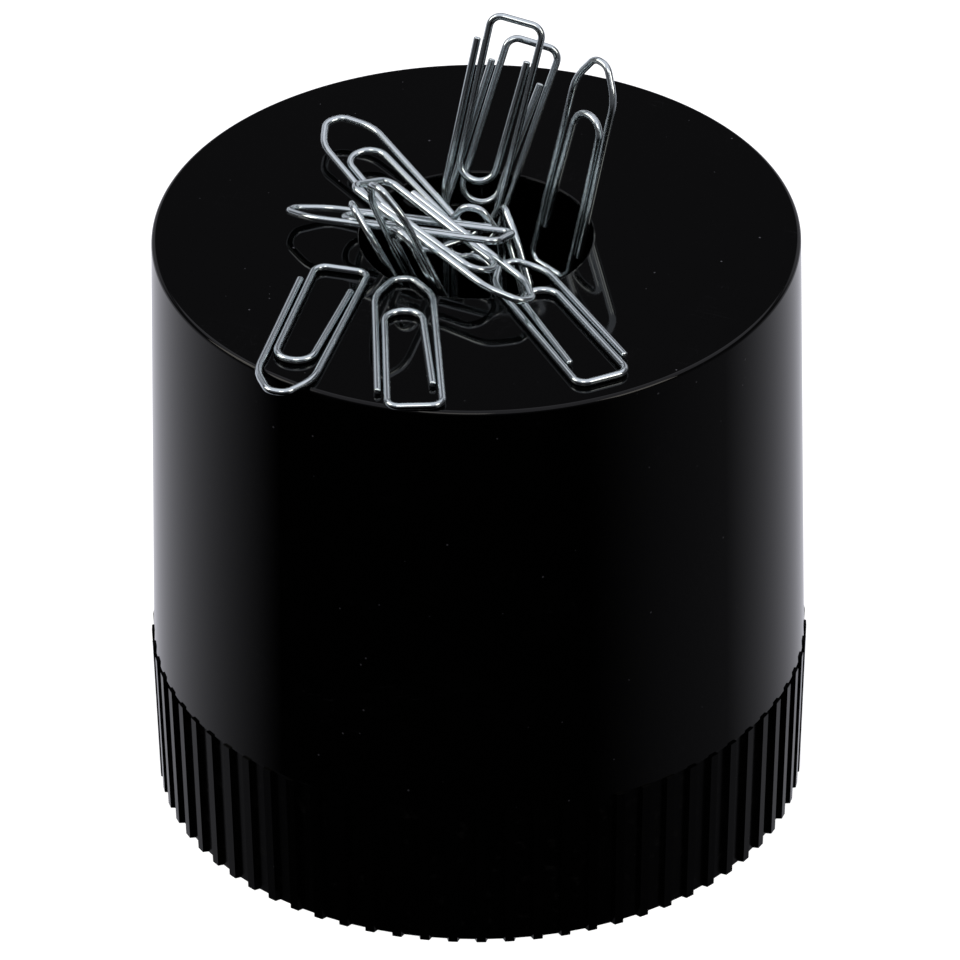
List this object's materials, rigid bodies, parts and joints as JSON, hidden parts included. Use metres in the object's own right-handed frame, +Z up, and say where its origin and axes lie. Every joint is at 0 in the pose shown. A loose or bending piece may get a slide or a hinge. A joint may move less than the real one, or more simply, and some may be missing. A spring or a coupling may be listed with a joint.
{
  "type": "magnetic paper clip holder",
  "caption": "Round desk holder for paper clips: a smooth tapered body over a ribbed base cap, with a ring magnet round the hole in the top that holds a heap of loose wire clips.",
  "frame": {"origin": "centre of the underside, on the surface that the holder stands on", "axes": "+Z up along the holder's axis; -Y towards the viewer of the picture, +X to the viewer's right"},
  "size_m": [0.072, 0.072, 0.0878],
  "materials": {
    "body_plastic": "polished black",
    "base_plastic": "moulded black, slightly duller than the body",
    "retainer_plastic": "plain black, not polished",
    "magnet": "pressed and sintered, dark grey",
    "clip_wire": "plated steel wire"
  },
  "bodies": {
    "base": {"base_cap": "base_plastic"},
    "housing": {"body_shell": "body_plastic", "ring_magnet": "magnet", "magnet_retainer": "retainer_plastic"},
    "clip_front_left": {"clip_front_left": "clip_wire"},
    "clip_front_center": {"clip_front_center": "clip_wire"},
    "clip_right_front": {"clip_right_front": "clip_wire"},
    "clip_upper_left": {"clip_upper_left": "clip_wire"},
    "clip_across": {"clip_across": "clip_wire"},
    "clip_diagonal": {"clip_diagonal": "clip_wire"},
    "clip_standing_back": {"clip_standing_back": "clip_wire"},
    "clip_standing_front": {"clip_standing_front": "clip_wire"},
    "clip_standing_right": {"clip_standing_right": "clip_wire"},
    "clip_lean_left": {"clip_lean_left": "clip_wire"},
    "clip_lean_far_left": {"clip_lean_far_left": "clip_wire"},
    "clip_center": {"clip_center": "clip_wire"},
    "clip_right": {"clip_right": "clip_wire"}
  },
  "joints": [
    {"name": "housing_lift", "type": "slide", "parent": "base", "child": "housing", "axis": [0, 0, 1], "range_m": [0, 0.04]},
    {"name": "front_left_clip_pull", "type": "slide", "parent": "housing", "child": "clip_front_left", "axis": [-0.2588, -0.9659, 0], "range_m": [0, 0.04]},
    {"name": "front_center_clip_pull", "type": "slide", "parent": "housing", "child": "clip_front_center", "axis": [0.0349, -0.9994, 0], "range_m": [0, 0.04]},
    {"name": "right_front_clip_pull", "type": "slide", "parent": "housing", "child": "clip_right_front", "axis": [0.4226, -0.9063, 0], "range_m": [0, 0.04]},
    {"name": "upper_left_clip_pull", "type": "slide", "parent": "housing", "child": "clip_upper_left", "axis": [0.4822, -0.8698, -0.1045], "range_m": [0, 0.005]},
    {"name": "across_clip_pull", "type": "slide", "parent": "housing", "child": "clip_across", "axis": [-0.9374, 0.3412, -0.0698], "range_m": [0, 0.003]},
    {"name": "diagonal_clip_pull", "type": "slide", "parent": "housing", "child": "clip_diagonal", "axis": [0.6626, -0.7359, -0.1392], "range_m": [0, 0.007]},
    {"name": "standing_back_clip_pull", "type": "slide", "parent": "housing", "child": "clip_standing_back", "axis": [0.2304, 0.2745, 0.9336], "range_m": [0, 0.04]},
    {"name": "standing_front_clip_pull", "type": "slide", "parent": "housing", "child": "clip_standing_front", "axis": [0.3202, 0.3433, 0.8829], "range_m": [0, 0.04]},
    {"name": "standing_right_clip_pull", "type": "slide", "parent": "housing", "child": "clip_standing_right", "axis": [0.0684, 0, 0.9977], "range_m": [0, 0.04]},
    {"name": "lean_left_clip_pull", "type": "slide", "parent": "housing", "child": "clip_lean_left", "axis": [-0.3718, -0.0457, 0.9272], "range_m": [0, 0.04]},
    {"name": "lean_far_left_clip_pull", "type": "slide", "parent": "housing", "child": "clip_lean_far_left", "axis": [-0.3667, -0.2552, 0.8947], "range_m": [0, 0.003]},
    {"name": "center_clip_pull", "type": "slide", "parent": "housing", "child": "clip_center", "axis": [-0.5847, 0.8108, -0.0277], "range_m": [0, 0.008]},
    {"name": "right_clip_pull", "type": "slide", "parent": "housing", "child": "clip_right", "axis": [-0.2668, 0.5237, 0.809], "range_m": [0, 0.006]}
  ]
}
